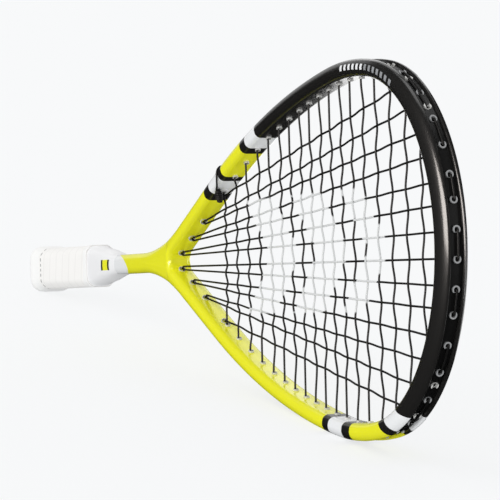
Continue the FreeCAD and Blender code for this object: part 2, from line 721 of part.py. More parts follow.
def make_taper():
    """Moulded taper that closes the handle down on to the shaft."""
    body = new_body("handle_taper")
    start = size("grip_end") + size("fit_gap")
    run = size("taper_end") - start
    lip = size("taper_lip")
    wide = (size("grip_top_half_width") - lip / 2, size("grip_top_half_depth") - lip / 2, size("grip_top_corner"))
    narrow = (SHAFT_HALF + lip, size("beam_depth") / 2 + lip, shaft_section()[2] + lip / 2)
    outlines = []
    for share in (0, 0.25, 0.5, 0.75, 1):
        drop = share * share * (3 - 2 * share)
        outlines.append((start + run * share, octagon(*(a + (b - a) * drop for a, b in zip(wide, narrow)))))
    loft(body, "handle_taper_loft", outlines, ruled=False)
    bore = new_sketch(body, "handle_taper_bore", "YZ_Plane", start + run / 2)
    add_loop(bore, polygon(octagon(*shaft_section())))
    symmetric_pocket(body, "handle_taper_socket", bore, "Sizes.taper_end - Sizes.grip_end + 10")
    return body


def make_handle():
    """Core halves, butt cap, grip, finishing tape and taper."""
    gap = size("fit_gap")
    front = make_handle_half("front_handle_core", 1)
    back = make_handle_half("back_handle_core", -1)
    end = size("grip_end")
    grip = make_sleeve("grip_tape", size("grip_start") + gap, end, 0, size("grip_thickness") - gap)
    band = make_sleeve("finishing_tape", end - size("band_width"), end, -gap - size("band_thickness"), -gap)
    return [front, back, make_butt_cap(), grip, band, make_taper()]


# --------------------------------------------------------------------------- assembly
def racket_placement():
    """Stands the racket on the rim of its butt cap and the side of its head, over the origin."""
    rest = Vector(size("flare_position"), -size("flare_half_width"), 0)
    centre = mirrored(ARM_CENTRE)
    radius = size("arm_radius") + size("frame_width")
    reach = math.hypot(centre.x - rest.x, centre.y - rest.y)
    tilt = math.atan2(centre.x - rest.x, centre.y - rest.y) - math.acos(radius / reach)
    low = rest.x * math.sin(tilt) + rest.y * math.cos(tilt)
    first_x = -size("cap_end_half_width") * math.sin(tilt)
    last_x = OUTER_TIP_CENTRE.x * math.cos(tilt) + OUTER_TIP_RADIUS
    stand = FreeCAD.Rotation(Vector(1, 0, 0), 90)
    lean = FreeCAD.Rotation(Vector(0, 1, 0), -math.degrees(tilt))
    return FreeCAD.Placement(Vector(-(first_x + last_x) / 2, 0, -low), lean.multiply(stand))


nodes = [make_frame()]
nodes += make_strips()
nodes += make_grommets()
nodes += make_mains()
nodes += make_crosses()
nodes += [make_tie_off()]
nodes += make_handle()
doc.recompute()

placement = racket_placement()
for node in nodes:
    node.Placement = placement
doc.recompute()

for item in doc.Objects:
    if {"Invalid", "Error"} & set(item.State):
        raise RuntimeError("%s failed: %s" % (item.Label, item.State))
os.makedirs("parts", exist_ok=True)
for node in nodes:
    if node.Shape.isNull() or not node.Shape.isValid():
        raise RuntimeError("%s has no valid shape" % node.Label)
    print("%-24s solids %3d  volume %9.1f mm3" % (node.Label, len(node.Shape.Solids), node.Shape.Volume))
    node.Shape.exportStep("parts/%s.step" % node.Label)
print("placement", placement)
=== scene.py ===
"""Squash racket on a pale studio floor, standing on its edge and seen from beyond the tip.

Shapes are worked out in the racket's own frame in millimetres: x from the butt face to the tip, y across
the head and z along the string bed's normal.  One placement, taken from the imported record, puts them in
the row frame.
"""
import json
import math

import bmesh
import bpy
from mathutils import Matrix, Vector

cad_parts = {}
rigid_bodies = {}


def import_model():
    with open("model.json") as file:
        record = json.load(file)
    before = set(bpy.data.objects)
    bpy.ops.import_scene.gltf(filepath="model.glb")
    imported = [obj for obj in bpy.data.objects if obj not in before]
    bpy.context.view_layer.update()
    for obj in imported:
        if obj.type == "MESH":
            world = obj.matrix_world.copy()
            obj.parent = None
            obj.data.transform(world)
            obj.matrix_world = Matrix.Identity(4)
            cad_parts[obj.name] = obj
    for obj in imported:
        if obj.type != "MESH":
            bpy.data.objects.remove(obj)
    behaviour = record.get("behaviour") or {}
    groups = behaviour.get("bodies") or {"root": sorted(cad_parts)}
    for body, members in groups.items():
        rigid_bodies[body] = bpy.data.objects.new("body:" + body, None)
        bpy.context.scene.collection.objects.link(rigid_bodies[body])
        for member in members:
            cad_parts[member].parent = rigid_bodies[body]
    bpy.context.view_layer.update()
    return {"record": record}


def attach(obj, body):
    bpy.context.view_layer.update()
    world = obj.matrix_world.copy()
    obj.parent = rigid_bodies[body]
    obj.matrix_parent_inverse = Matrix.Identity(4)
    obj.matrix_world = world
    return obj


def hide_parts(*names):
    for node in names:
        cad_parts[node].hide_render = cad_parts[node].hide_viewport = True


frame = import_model()

MM = 0.001
FULL_TURN = 2 * math.pi

# --------------------------------------------------------------------------- placement
butt_face = next(mount for mount in frame["record"]["mounts"] if mount["name"] == "butt_face")
BUTT = Vector(butt_face["pos_m"])
AXIS = -Vector(butt_face["axis"]).normalized()
NORMAL = Vector((0, -1, 0))
ACROSS = NORMAL.cross(AXIS)
TURN = Matrix((AXIS, ACROSS, NORMAL)).transposed()


def place(point):
    """A point of the racket's own frame, in the row frame."""
    return BUTT + TURN @ (Vector(point) * MM)


# --------------------------------------------------------------------------- sizes shared with the CAD part
LENGTH = 686
HALF_BEAM = 8.5
FRAME_WIDTH = 9.6
TIP_RADIUS = 93.4
FLANK_RADIUS = 199.6
ARM_RADIUS = 628
TIP_ANGLE = 83
FLANK_ANGLE = TIP_ANGLE + 14.85
ARM_ANGLE = FLANK_ANGLE + 16.75
THROAT_RADIUS = 6
SWEEP_RADIUS = 180
SHAFT_HALF = 6.5
TUBE_START = 8
GROOVE_DEPTH = 2.5
STRING_RADIUS = 0.6
STRING_OFFSET = 0.63
THROAT_FAN = 1.14
SLEEVE_PROUD = 1
STRIP_THICKNESS = 0.7
SEAT_GAP = 0.1
CROSS_X = (364.3, 383.0, 402.0, 420.7, 438.4, 455.0, 470.6, 485.9, 500.4, 515.0, 529.4, 543.8,
           558.4, 573.8, 591.0, 609.0, 628.0, 647.0)
MAIN_GAUGE_X = 600
MAIN_GAUGE_Y = (6.8, 18.3, 29.7, 41.9, 54.7, 67.9, 82.0)
THROAT_HOLE_X = (286.2, 305.5, 327.2, 359.3)
MAINS_OF_HOLE = ((0, 1), (2, 3), (4, 5), (6,))
HOLE_OF_MAIN = (0, 0, 1, 1, 2, 2, 3)
THROAT_DRILL_ANGLE = 135
TIP_HOLE_LEAN = 0.62
CAP_FLOOR = 3
GRIP_START = 21
GRIP_END = 122
TAPER_END = 176


def polar(centre, radius, degrees):
    """Point at an angle on a circle in the racket's plane."""
    angle = math.radians(degrees)
    return Vector((centre[0] + radius * math.cos(angle), centre[1] + radius * math.sin(angle)))


def angle_about(centre, point):
    """Angle of a point about a centre, in degrees."""
    return math.degrees(math.atan2(point.y - centre.y, point.x - centre.x))


TIP_CENTRE = Vector((672.9 - TIP_RADIUS, 0))
FLANK_CENTRE = polar(TIP_CENTRE, TIP_RADIUS - FLANK_RADIUS, TIP_ANGLE)
ARM_CENTRE = polar(FLANK_CENTRE, FLANK_RADIUS - ARM_RADIUS, FLANK_ANGLE)
ARM_NORMAL = polar((0, 0), 1, ARM_ANGLE)
ARM_ALONG = Vector((ARM_NORMAL.y, -ARM_NORMAL.x))
ARM_LINE = ARM_NORMAL.dot(polar(ARM_CENTRE, ARM_RADIUS, ARM_ANGLE))
THROAT_CENTRE = Vector(((ARM_LINE - THROAT_RADIUS) / ARM_NORMAL.x, 0))
APEX_X = THROAT_CENTRE.x - THROAT_RADIUS
OUTER_FLANK = FLANK_RADIUS + FRAME_WIDTH
REACH = LENGTH - OUTER_FLANK
OUTER_TIP_CENTRE = Vector((
    (REACH ** 2 - FLANK_CENTRE.x ** 2 - FLANK_CENTRE.y ** 2) / (2 * (REACH - FLANK_CENTRE.x)), 0))
OUTER_TIP_RADIUS = LENGTH - OUTER_TIP_CENTRE.x
OUTER_TIP_ANGLE = angle_about(FLANK_CENTRE, OUTER_TIP_CENTRE)
SWEEP_RISE = SHAFT_HALF + SWEEP_RADIUS
SWEEP_CENTRE = Vector(
    ((ARM_LINE + FRAME_WIDTH + SWEEP_RADIUS - ARM_NORMAL.y * SWEEP_RISE) / ARM_NORMAL.x, SWEEP_RISE))


def outer_side(point):
    """Distance and way from a point of the upper half to the frame's outer outline."""
    if point.x < SWEEP_CENTRE.x:
        return SHAFT_HALF - point.y, Vector((0, 1))
    from_sweep = SWEEP_CENTRE - point
    if from_sweep.dot(ARM_ALONG) > 0:
        return from_sweep.length - SWEEP_RADIUS, from_sweep.normalized()
    if angle_about(ARM_CENTRE, point) > ARM_ANGLE:
        return ARM_LINE + FRAME_WIDTH - point.dot(ARM_NORMAL), ARM_NORMAL
    if angle_about(FLANK_CENTRE, point) > FLANK_ANGLE:
        centre, radius = ARM_CENTRE, ARM_RADIUS + FRAME_WIDTH
    elif angle_about(OUTER_TIP_CENTRE, point) > OUTER_TIP_ANGLE:
        centre, radius = FLANK_CENTRE, OUTER_FLANK
    else:
        centre, radius = OUTER_TIP_CENTRE, OUTER_TIP_RADIUS
    arm = point - centre
    return radius - arm.length, arm.normalized()


def to_outer(point, inset):
    """The point moved square to the outer outline until it lies inset inside it, on either side."""
    side = -1 if point.y < 0 else 1
    upper = Vector((point.x, abs(point.y)))
    gap, way = outer_side(upper)
    moved = upper + way * (gap - inset)
    return Vector((moved.x, moved.y * side))


# --------------------------------------------------------------------------- mesh helpers
SHARP = math.radians(38)
WELD = 0.002


def add_piece(name, points, faces, material, replaced, values=None):
    """Visible piece made of points in the racket's own frame."""
    mesh = bpy.data.meshes.new(name)
    mesh.from_pydata([place(point) for point in points], [], faces)
    if values is not None:
        layer = mesh.attributes.new("surface", "FLOAT_VECTOR", "POINT")
        for item, value in zip(layer.data, values):
            item.vector = value
    mesh.validate()
    mesh.shade_smooth()
    mesh.set_sharp_from_angle(angle=SHARP)
    mesh.materials.append(material)
    piece = bpy.data.objects.new(name, mesh)
    bpy.context.scene.collection.objects.link(piece)
    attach(piece, "root")
    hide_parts(*replaced)
    return piece


def grid_faces(rows, columns, closed_rows, closed_columns, first=0):
    """Quads of a grid of points stored row by row."""
    faces = []
    for row in range(rows if closed_rows else rows - 1):
        after = (row + 1) % rows
        for column in range(columns if closed_columns else columns - 1):
            beside = (column + 1) % columns
            faces.append((first + row * columns + column, first + row * columns + beside,
                          first + after * columns + beside, first + after * columns + column))
    return faces


def face_outwards(piece):
    """Turns every face of a closed piece outwards and welds points that coincide."""
    work = bmesh.new()
    work.from_mesh(piece.data)
    bmesh.ops.remove_doubles(work, verts=work.verts, dist=MM * WELD)
    bmesh.ops.recalc_face_normals(work, faces=work.faces)
    work.to_mesh(piece.data)
    work.free()
    piece.data.shade_smooth()
    piece.data.set_sharp_from_angle(angle=SHARP)


# --------------------------------------------------------------------------- materials
class Finish:
    """A material whose colour and relief are worked out from the racket's own coordinates."""

    def __init__(self, name, roughness, coat=0.0, coat_roughness=0.1):
        self.material = bpy.data.materials.new(name)
        self.material.use_nodes = True
        self.tree = self.material.node_tree
        self.shader = self.tree.nodes["Principled BSDF"]
        self.shader.inputs["Roughness"].default_value = roughness
        self.shader.inputs["Coat Weight"].default_value = coat
        self.shader.inputs["Coat Roughness"].default_value = coat_roughness
        where = self.node("ShaderNodeTexCoord").outputs["Object"]
        mapping = self.node("ShaderNodeMapping", vector_type="TEXTURE")
        mapping.inputs["Location"].default_value = BUTT
        mapping.inputs["Rotation"].default_value = TURN.to_euler()
        mapping.inputs["Scale"].default_value = (MM, MM, MM)
        self.join(where, mapping.inputs["Vector"])
        self.local = mapping.outputs["Vector"]
        self.x, self.y, self.z = self.parts(self.local)

    def node(self, kind, **settings):
        """A new node with its settings."""
        made = self.tree.nodes.new(kind)
        for key, value in settings.items():
            setattr(made, key, value)
        return made

    def join(self, value, socket):
        """Links an output, or sets a plain value, on an input."""
        if isinstance(value, bpy.types.NodeSocket):
            self.tree.links.new(value, socket)
        else:
            socket.default_value = value

    def parts(self, vector):
        """The three components of a vector."""
        split = self.node("ShaderNodeSeparateXYZ")
        self.join(vector, split.inputs[0])
        return split.outputs

    def surface(self):
        """The three components of the piece's own surface attribute."""
        return self.parts(self.node("ShaderNodeAttribute", attribute_name="surface").outputs["Vector"])

    def math(self, operation, *values):
        """One arithmetic operation."""
        made = self.node("ShaderNodeMath", operation=operation)
        for value, socket in zip(values, made.inputs):
            self.join(value, socket)
        return made.outputs[0]

    def inside(self, value, start, end, soft=0.15):
        """One between start and end, falling to nought over a soft edge."""
        middle = (start + end) / 2
        distance = self.math("ABSOLUTE", self.math("SUBTRACT", value, middle))
        rest = self.math("SUBTRACT", (end - start) / 2, distance)
        return self.clamp(self.math("MULTIPLY_ADD", rest, 1 / soft, 0.5))

    def clamp(self, value):
        """The value held between nought and one."""
        made = self.node("ShaderNodeClamp")
        self.join(value, made.inputs[0])
        return made.outputs[0]

    def product(self, *values):
        """Product of several values."""
        result = values[0]
        for value in values[1:]:
            result = self.math("MULTIPLY", result, value)
        return result

    def mix(self, share, first, second):
        """Mix of two colours."""
        made = self.node("ShaderNodeMix", data_type="RGBA")
        self.join(share, made.inputs["Factor"])
        colours = [socket for socket in made.inputs if socket.type == "RGBA"]
        for value, socket in zip((first, second), colours):
            self.join(value, socket)
        return [socket for socket in made.outputs if socket.type == "RGBA"][0]

    def noise(self, size, detail=3.0):
        """Noise between nought and one whose features are about size millimetres."""
        made = self.node("ShaderNodeTexNoise")
        made.inputs["Scale"].default_value = 1 / size
        made.inputs["Detail"].default_value = detail
        self.join(self.local, made.inputs["Vector"])
        return made.outputs["Fac"]

    def steps(self, value, start, end, stops):
        """Colour bands along a value; each stop is (where the band starts, its colour)."""
        share = self.math("DIVIDE", self.math("SUBTRACT", value, start), end - start)
        made = self.node("ShaderNodeValToRGB")
        ramp = made.color_ramp
        ramp.interpolation = "CONSTANT"
        for index, (where, colour) in enumerate(stops):
            position = (where - start) / (end - start)
            if index < len(ramp.elements):
                ramp.elements[index].position = position
            else:
                ramp.elements.new(position)
            ramp.elements[index].color = colour
        self.join(share, made.inputs["Fac"])
        return made.outputs["Color"]

    def shade(self, colour, variation, size):
        """The colour, lightened and darkened a little by noise."""
        made = self.node("ShaderNodeHueSaturation")
        bright = self.math("MULTIPLY_ADD", self.noise(size), 2 * variation, 1 - variation)
        self.join(bright, made.inputs["Value"])
        self.join(colour, made.inputs["Color"])
        return made.outputs["Color"]

    def finish(self, colour, height, depth):
        """Puts the colour and a relief of depth millimetres on the shader."""
        self.join(colour, self.shader.inputs["Base Color"])
        bump = self.node("ShaderNodeBump")
        bump.inputs["Strength"].default_value = 1.0
        bump.inputs["Distance"].default_value = depth * MM
        self.join(height, bump.inputs["Height"])
        self.join(bump.outputs["Normal"], self.shader.inputs["Normal"])
        return self.material


YELLOW = (0.84, 0.83, 0.012, 1)
BLACK = (0.012, 0.0115, 0.011, 1)
WHITE = (0.84, 0.85, 0.86, 1)
GREY = (0.30, 0.31, 0.32, 1)

# Bands of the two arms: where each band starts along the racket, measured on the outer edge.
UPPER_BANDS = ((0, YELLOW), (347.6, BLACK), (354.4, WHITE), (370.4, BLACK), (376.8, YELLOW),
               (409.0, BLACK), (416.0, WHITE), (432.2, BLACK))
LOWER_BANDS = ((0, YELLOW), (523.8, BLACK), (532.9, WHITE), (551.1, BLACK), (561.0, YELLOW),
               (599.7, BLACK), (607.8, WHITE), (623.6, BLACK))
# From here on the lower bands' edges lean towards the tip at the outer side of the frame.
LEAN_START = 585
BAND_LEAN = 0.78
# The white of the handle ends here on the middle plane, and curves and slants round the shaft.
WHITE_END = 180.5
WHITE_CURVE = 20.0
WHITE_SLANT = 1.2
# Row of ticks on the front of the upper head: white up to the break, then grey.
TICK_START = 563
TICK_BREAK = 593
TICK_END = 632
TICK_PITCH = 5.4
TICK_SHARE = 0.52
TICK_INNER = 3.7
TICK_OUTER = 6.9
FRONT_FACE = (6.0, 10.0)


def frame_paint():
    """Lacquer: white by the handle, yellow throat and arms, black and white bands, black head."""
    paint = Finish("frame_paint", roughness=0.34, coat=0.75, coat_roughness=0.17)
    paint.shader.inputs["Specular IOR Level"].default_value = 0.2
    along, across, side = paint.surface()
    upper = paint.steps(along, 0, LENGTH + 1, UPPER_BANDS)
    leaning = paint.product(paint.inside(along, LEAN_START, LENGTH + 1), across, BAND_LEAN)
    lower = paint.steps(paint.math("SUBTRACT", along, leaning), 0, LENGTH + 1, LOWER_BANDS)
    is_upper = paint.clamp(side)
    colour = paint.mix(is_upper, lower, upper)
    tick = paint.math("FRACT", paint.math("DIVIDE", paint.math("SUBTRACT", along, TICK_START), TICK_PITCH))
    ticks = paint.product(
        paint.inside(tick, 0.0, TICK_SHARE, 0.02), paint.inside(along, TICK_START, TICK_END),
        paint.inside(across, TICK_INNER, TICK_OUTER), paint.inside(paint.z, *FRONT_FACE), is_upper)
    tick_colour = paint.mix(paint.inside(along, TICK_BREAK, TICK_END), WHITE, GREY)
    colour = paint.mix(ticks, colour, tick_colour)
    curve = paint.math("POWER", paint.math("DIVIDE", paint.z, HALF_BEAM), 2.0)
    edge = paint.math("MULTIPLY_ADD", curve, WHITE_CURVE, WHITE_END)
    edge = paint.math("SUBTRACT", edge, paint.math("MULTIPLY", paint.y, WHITE_SLANT))
    white = paint.clamp(paint.math("MULTIPLY", paint.math("SUBTRACT", edge, paint.x), 4.0))
    colour = paint.mix(white, colour, WHITE)
    return paint.finish(paint.shade(colour, 0.02, 30), paint.noise(6, 2), 0.01)


GRAIN_SIZE = 0.6
GRAIN_DEPTH = 0.02


def plain(name, colour, roughness, variation=0.08, size=3.0):
    """Moulded material with slight mottling and a fine grain."""
    made = Finish(name, roughness)
    return made.finish(made.shade(colour, variation, size), made.noise(GRAIN_SIZE), GRAIN_DEPTH)


STRING_BLACK = (0.006, 0.006, 0.006, 1)
STRING_INK = (0.62, 0.63, 0.63, 1)
TWIST_RATE = 1.1
# Chevrons stencilled on the bed: where each starts and ends on the axis.
CHEVRONS = ((438, 482), (508, 552), (578, 606))
CHEVRON_SLOPE = 1.1
CHEVRON_HALF_WIDTH = 34


def string_finish():
    """Black twisted multifilament with white chevrons stencilled on the bed."""
    made = Finish("string", roughness=0.5)
    made.shader.inputs["Specular IOR Level"].default_value = 0.25
    cosine, sine, length = made.surface()
    turn = made.math("MULTIPLY", length, TWIST_RATE)
    twist = made.math("ADD", made.product(sine, made.math("COSINE", turn)),
                      made.product(cosine, made.math("SINE", turn)))
    far = made.math("ABSOLUTE", made.y)
    chevron = made.math("MULTIPLY_ADD", far, CHEVRON_SLOPE, made.x)
    marks = 0.0
    for start, end in CHEVRONS:
        marks = made.math("ADD", marks, made.inside(chevron, start, end, 1.0))
    ink = made.product(made.clamp(marks), made.inside(far, -1, CHEVRON_HALF_WIDTH, 1.0))
    patchy = made.clamp(made.math("MULTIPLY_ADD", made.noise(0.8), 4.0, -0.4))
    colour = made.mix(made.product(ink, patchy), made.shade(STRING_BLACK, 0.25, 4), STRING_INK)
    return made.finish(colour, twist, 0.03)


GRIP_WHITE = (0.86, 0.85, 0.83, 1)
# Grey mixed in along the tape's seam: painted shade of the groove between the wrap's turns.
SEAM_SHADE_GREY = (0.66, 0.65, 0.63, 1)
DASH_GREY = (0.10, 0.10, 0.11, 1)
WRAP_PITCH = 13.4
DASH_COUNT = 24
DASH_START = 23.6
DASH_END = 25.2


def grip_finish():
    """Soft white tape with a spiral seam greyed by painted shade, a fine pressed grain and a printed ring
    of dashes.
    """
    made = Finish("grip_polymer", roughness=0.55)
    turn = made.math("DIVIDE", made.math("ARCTAN2", made.z, made.y), FULL_TURN)
    wraps = made.math("DIVIDE", made.math("SUBTRACT", made.x, GRIP_START), WRAP_PITCH)
    phase = made.math("FRACT", made.math("ADD", made.math("ADD", wraps, turn), 1.0))
    from_seam = made.math("MINIMUM", phase, made.math("SUBTRACT", 1.0, phase))
    # Painted shade: the tape's colour greys towards the seam, where the groove between turns lies in shade.
    seam = made.clamp(made.math("MULTIPLY_ADD", from_seam, -WRAP_PITCH / 1.6, 1.0))
    colour = made.mix(made.math("MULTIPLY", seam, 0.3), made.shade(GRIP_WHITE, 0.02, 14), SEAM_SHADE_GREY)
    dash = made.math("FRACT", made.math("MULTIPLY_ADD", turn, DASH_COUNT, DASH_COUNT))
    dashes = made.product(made.inside(made.x, DASH_START, DASH_END), made.inside(dash, 0, 0.55, 0.05), 0.75)
    colour = made.mix(dashes, colour, DASH_GREY)
    grain = made.math("ADD", made.noise(0.7, 4), made.noise(0.28, 2))
    return made.finish(colour, grain, 0.05)


# Mark on the front of the taper: the inner ends of its two bars, their width and its half height.
MARK_START = 154
MARK_END = 163
MARK_BAR = 3
MARK_HALF = 3.6


def taper_finish():
    """Satin white lacquer with a small generic mark of bars on the front."""
    made = Finish("white_taper", roughness=0.35, coat=0.2)
    colour = made.shade((0.86, 0.86, 0.87, 1), 0.015, 20)
    front = made.product(made.inside(made.y, -MARK_HALF, MARK_HALF), made.inside(made.z, 7, 12))
    bars = made.math("ADD", made.inside(made.x, MARK_START - MARK_BAR, MARK_START),
                     made.inside(made.x, MARK_END, MARK_END + MARK_BAR))
    colour = made.mix(made.product(front, made.inside(made.x, MARK_START, MARK_END)), colour, YELLOW)
    colour = made.mix(made.product(front, bars), colour, BLACK)
    return made.finish(colour, made.noise(4, 2), 0.01)


FRAME_PAINT = frame_paint()
STRING = string_finish()
GRIP = grip_finish()
NYLON = plain("black_nylon", (0.004, 0.004, 0.004, 1), 0.4, 0.2)
GROMMET = plain("grommet_nylon", (0.30, 0.305, 0.31, 1), 0.42, 0.15)
PALE_GROMMET = plain("pale_grommet_nylon", (0.60, 0.60, 0.58, 1), 0.42, 0.15)
FOAM = plain("handle_foam", (0.70, 0.68, 0.62, 1), 0.8)
CAP = plain("white_cap", (0.88, 0.88, 0.87, 1), 0.45, 0.02, 20)
BAND = plain("white_tape", (0.86, 0.86, 0.85, 1), 0.5, 0.02, 8)
TAPER = taper_finish()

# --------------------------------------------------------------------------- frame
INNER_ROUND = 3.2
INNER_EDGE_Z = 4.6
OUTER_ROUND = 4.4
TIP_ROUND_GAIN = 1.25
LIP_Z = 4.3
FACE_SLOPE = 0.1
RIDGE_START = 235
RIDGE_INSET = 4.8
GROOVE_FADE = (262, 284)
# Groove section from the lip to the middle plane: share of the depth, and z.
GROOVE_SECTION = ((0.1, 3.85), (0.36, 3.55), (0.88, 3.45), (1, 3.1), (1, 0))
ROUND_STEPS = 8
RIDGE_HALF = 0.3
# Stations along the shaft: a coarse stretch, a fine one, and steps that close up to the throat's apex.
COARSE_STEP = 6
FINE_START = 224
FINE_STEP = 2
FINE_END = 276
APEX_RUN = 6
APEX_STEPS = 16
STRAIGHT_STEPS = 40


def inner_stations():
    """Points along the upper half of the centre line and of the opening, and whether they edge it."""
    along_shaft = list(range(TUBE_START, FINE_START, COARSE_STEP))
    along_shaft += list(range(FINE_START, FINE_END, FINE_STEP))
    along_shaft += [APEX_X - APEX_RUN * (step / APEX_STEPS) ** 2 for step in range(APEX_STEPS, 0, -1)]
    stations = [(Vector((x, 0)), False) for x in along_shaft]
    runs = ((THROAT_CENTRE, THROAT_RADIUS, 180, ARM_ANGLE, 16),
            (ARM_CENTRE, ARM_RADIUS, ARM_ANGLE, FLANK_ANGLE, 110),
            (FLANK_CENTRE, FLANK_RADIUS, FLANK_ANGLE, TIP_ANGLE, 34),
            (TIP_CENTRE, TIP_RADIUS, TIP_ANGLE, 0, 90))
    for centre, radius, start, end, count in runs:
        arc = [polar(centre, radius, start + (end - start) * step / count) for step in range(count + 1)]
        if centre is ARM_CENTRE:
            first = stations[-1][0]
            straight = [first.lerp(arc[0], step / STRAIGHT_STEPS) for step in range(1, STRAIGHT_STEPS)]
            arc = straight + arc
        elif centre is not THROAT_CENTRE:
            arc = arc[1:]
        stations += [(point, True) for point in arc]
    return stations


def opening_gap(point, distance):
    """Distance from a point of the frame to the edge of the head's opening."""
    if angle_about(THROAT_CENTRE, point) > ARM_ANGLE:
        return (point - THROAT_CENTRE).length - THROAT_RADIUS
    return distance


def rounded_height(face, edge, gap, radius):
    """Height of an edge that rounds up from edge to face over a radius."""
    if gap >= radius:
        return face
    return edge + (face - edge) * math.sqrt(max(0, 1 - (1 - max(gap, 0) / radius) ** 2))


def front_profile(start, width, way, ridge):
    """Distances across the frame and heights of its front, from the inner edge to the lip."""
    quarter = [math.pi / 2 * step / ROUND_STEPS for step in range(ROUND_STEPS + 1)]
    outer_round = OUTER_ROUND
    if start.x > ARM_CENTRE.x:
        outer_round += TIP_ROUND_GAIN * max(0, width - FRAME_WIDTH)
    inner_room = min(INNER_ROUND, width - outer_round - RIDGE_HALF)
    spots = [inner_room * (1 - math.cos(turn)) for turn in quarter]
    spots += [width - outer_round * (1 - math.cos(turn)) for turn in quarter]
    spots += [max(0, ridge - RIDGE_HALF), ridge, ridge + RIDGE_HALF]
    heights = []
    for spot in sorted(spots):
        face = HALF_BEAM - FACE_SLOPE * abs(spot - ridge)
        gap = opening_gap(start + way * spot, spot)
        inner = rounded_height(face, INNER_EDGE_Z, gap, INNER_ROUND)
        outer = rounded_height(face, LIP_Z, width - spot, outer_round)
        heights.append((spot, min(inner, outer)))
    return heights


def frame_section(start):
    """Section of the upper half at one station: each point, its outer edge's x and its way across."""
    width, way = outer_side(start)
    share = min(1, max(0, (start.x - RIDGE_START) / (APEX_X - RIDGE_START)))
    outer = start + way * width
    fade = min(1, max(0, (outer.x - GROOVE_FADE[0]) / (GROOVE_FADE[1] - GROOVE_FADE[0])))
    front = front_profile(start, width, way, RIDGE_INSET * share)
    front += [(width - GROOVE_DEPTH * fade * part, z) for part, z in GROOVE_SECTION]
    section = front + [(spot, -z) for spot, z in reversed(front[:-1])]
    points = []
    for spot, z in section:
        flat = start + way * spot
        points.append(((flat.x, flat.y, z), (outer.x, spot)))
    return points


def make_frame():
    """Hoop, throat and shaft in one skin."""
    stations = inner_stations()
    sections = [frame_section(start) for start, _ in stations]
    columns = len(sections[0])
    rows = len(sections)
    points = []
    values = []
    faces = []
    for side in (1, -1):
        first = len(points)
        for section in sections:
            for (x, y, z), (along, across) in section:
                points.append((x, y * side, z))
                values.append((along, across, side))
        faces += grid_faces(rows, columns, False, False, first)
        for row in range(rows - 1):
            if stations[row][1] and stations[row + 1][1]:
                here = first + row * columns
                after = here + columns
                faces.append((here + columns - 1, here, after, after + columns - 1))
    half = rows * columns
    faces.append(tuple(range(columns)) + tuple(range(half + columns - 2, half, -1)))
    piece = add_piece("frame_moulding", points, faces, FRAME_PAINT, ["frame"], values)
    face_outwards(piece)


make_frame()


# --------------------------------------------------------------------------- string holes
HALVINGS = 40


class Hole:
    """A string hole of the upper half: its mouth on the inner face and its way out."""

    def __init__(self, mouth, degrees):
        self.mouth = mouth
        self.direction = polar((0, 0), 1, degrees)

    def depth_to(self, inset):
        """Distance along the hole to the outline moved inwards by inset."""
        near, far = 0, 3 * FRAME_WIDTH
        for _ in range(HALVINGS):
            middle = (near + far) / 2
            if outer_side(self.at(middle))[0] > inset:
                near = middle
            else:
                far = middle
        return near

    def at(self, distance):
        """Point on the hole's axis."""
        return self.mouth + self.direction * distance

    def inner_bend(self):
        """Where a string turns as it leaves the sleeve towards the bed."""
        return self.at(-SLEEVE_PROUD - STRING_RADIUS)


def arm_point(x):
    """Point of the arm's straight inner face."""
    return Vector((x, (ARM_LINE - x * ARM_NORMAL.x) / ARM_NORMAL.y))


def side_hole(x):
    """Hole square to the inner face at a given x."""
    arcs = ((TIP_CENTRE, TIP_RADIUS, TIP_ANGLE), (FLANK_CENTRE, FLANK_RADIUS, FLANK_ANGLE),
            (ARM_CENTRE, ARM_RADIUS, ARM_ANGLE))
    for centre, radius, end in arcs:
        cosine = (x - centre.x) / radius
        if cosine >= math.cos(math.radians(end)):
            angle = math.degrees(math.acos(cosine))
            return Hole(polar(centre, radius, angle), angle)
    return Hole(arm_point(x), ARM_ANGLE)


def tip_hole(index):
    """Hole where a main reaches the tip arc, turned from square to the face towards the axis."""
    start = arm_point(THROAT_HOLE_X[HOLE_OF_MAIN[index]])
    way = (Vector((MAIN_GAUGE_X, MAIN_GAUGE_Y[index])) - start).normalized()
    from_centre = start - TIP_CENTRE
    along = -from_centre.dot(way)
    reach = along + math.sqrt(along ** 2 - from_centre.length_squared + TIP_RADIUS ** 2)
    mouth = start + way * reach
    return Hole(mouth, TIP_HOLE_LEAN * angle_about(TIP_CENTRE, mouth))


side_holes = [side_hole(x) for x in CROSS_X]
throat_holes = [Hole(arm_point(x), THROAT_DRILL_ANGLE) for x in THROAT_HOLE_X]
tip_holes = [tip_hole(index) for index in range(len(MAIN_GAUGE_Y))]

# --------------------------------------------------------------------------- strings
WEAVE = 0.6
STEP = 1.4
CORNER = 1.1
CORNER_SHARE = 0.45
CORNER_STEPS = 4
NEARLY_STRAIGHT = math.radians(168)
TINY = 1e-6
TUBE_SIDES = 10
# A string weaves round the others only where it is this far from its own ends.
MAIN_CLEAR = 4
CROSS_CLEAR = 3
STRING_INSET = GROOVE_DEPTH - STRIP_THICKNESS - STRING_RADIUS - SEAT_GAP
THROAT_INSET = GROOVE_DEPTH - STRING_RADIUS - SEAT_GAP
CROSS_BED_X = [hole.inner_bend().x for hole in side_holes]


def flip(point, side):
    """A 3-D point of the upper half, on the given side."""
    return Vector((point.x, point.y * side, point.z))


def raised(point, z):
    """A point of the plane at a height."""
    return Vector((point.x, point.y, z))


def wave(value, knots):
    """Smooth curve through (place, height) pairs."""
    for (start, low), (end, high) in zip(knots, knots[1:]):
        if value <= end:
            share = max(0, (value - start) / (end - start))
            return low + (high - low) * (1 - math.cos(math.pi * share)) / 2
    return knots[-1][1]


def bed_run(start, end, key, knots):
    """String across the bed, without its end points, going over and under the others."""
    length = (end - start).length
    count = max(2, int(length / STEP))
    run = []
    for step in range(1, count):
        point = start.lerp(end, step / count)
        run.append(raised(point, wave(point[key], knots)))
    return run


